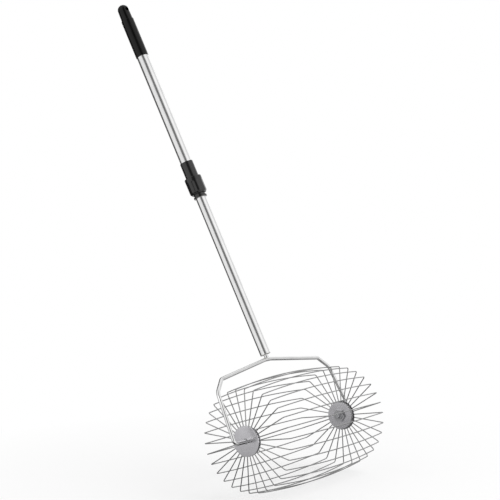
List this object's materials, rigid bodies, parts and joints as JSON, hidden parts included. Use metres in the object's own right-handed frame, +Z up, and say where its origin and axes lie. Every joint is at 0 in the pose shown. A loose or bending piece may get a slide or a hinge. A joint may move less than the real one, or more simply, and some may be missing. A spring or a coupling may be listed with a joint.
{
  "type": "tennis ball roller collector",
  "caption": "Rolling drum of bowed spring wires in a bent-rod fork on a telescopic twist-lock pole; rolled over the ground, it takes in what its wires are pressed onto.",
  "frame": {"origin": "point of the ground under the middle of the axle, where the drum's lowest wire rests", "axes": "+Z up, +X along the axle from the left hub to the right hub, pole leaning towards +Y"},
  "size_m": [0.4994, 0.6499, 1.1193],
  "materials": {
    "cage_wire": "bright spring wire",
    "fork_rod": "polished round bar",
    "pole_tube": "polished tube",
    "hub_disc": "satin stamped sheet",
    "hub_metal": "turned steel",
    "bush_plastic": "grey bearing plastic",
    "tube_plastic": "natural moulded nylon",
    "collar_plastic": "black moulded plastic",
    "grip_rubber": "black textured grip"
  },
  "bodies": {
    "fork_and_lower_pole": {"right_axle_washer": "hub_metal", "left_axle_washer": "hub_metal", "right_axle_cap": "hub_metal", "left_axle_cap": "hub_metal", "fork_frame": "fork_rod", "fork_stem": "fork_rod", "stem_plug": "tube_plastic", "lower_tube": "pole_tube", "lower_tube_guide": "tube_plastic"},
    "drum": {"cage_wire_01": "cage_wire", "cage_wire_02": "cage_wire", "cage_wire_03": "cage_wire", "cage_wire_04": "cage_wire", "cage_wire_05": "cage_wire", "cage_wire_06": "cage_wire", "cage_wire_07": "cage_wire", "cage_wire_08": "cage_wire", "cage_wire_09": "cage_wire", "cage_wire_10": "cage_wire", "cage_wire_11": "cage_wire", "cage_wire_12": "cage_wire", "cage_wire_13": "cage_wire", "cage_wire_14": "cage_wire", "cage_wire_15": "cage_wire", "cage_wire_16": "cage_wire", "cage_wire_17": "cage_wire", "cage_wire_18": "cage_wire", "cage_wire_19": "cage_wire", "cage_wire_20": "cage_wire", "cage_wire_21": "cage_wire", "cage_wire_22": "cage_wire", "cage_wire_23": "cage_wire", "cage_wire_24": "cage_wire", "cage_wire_25": "cage_wire", "cage_wire_26": "cage_wire", "cage_wire_27": "cage_wire", "cage_wire_28": "cage_wire", "cage_wire_29": "cage_wire", "cage_wire_30": "cage_wire", "right_outer_disc": "hub_disc", "left_outer_disc": "hub_disc", "right_hub_spacer": "hub_metal", "left_hub_spacer": "hub_metal", "right_inner_disc": "hub_disc", "left_inner_disc": "hub_disc", "right_hub_nut": "hub_metal", "left_hub_nut": "hub_metal", "right_hook_ring": "hub_metal", "left_hook_ring": "hub_metal", "right_axle_bush": "bush_plastic", "left_axle_bush": "bush_plastic"},
    "upper_pole": {"clamp_collet": "collar_plastic", "collar_sleeve": "collar_plastic", "upper_tube": "pole_tube", "handle_grip": "grip_rubber"},
    "lock_nut": {"lock_nut": "collar_plastic"}
  },
  "joints": [
    {"name": "drum_spin", "type": "hinge", "parent": "fork_and_lower_pole", "child": "drum", "pos_m": [0, 0, 0.13], "axis": [1, 0, 0], "continuous": true},
    {"name": "pole_slide", "type": "slide", "parent": "fork_and_lower_pole", "child": "upper_pole", "axis": [0, 0.4605, 0.8877], "range_m": [-0.35, 0]},
    {"name": "lock_nut_turn", "type": "hinge", "parent": "upper_pole", "child": "lock_nut", "pos_m": [0, 0.28784, 0.68483], "axis": [0, 0.4605, 0.8877], "range_deg": [0, 180]}
  ]
}
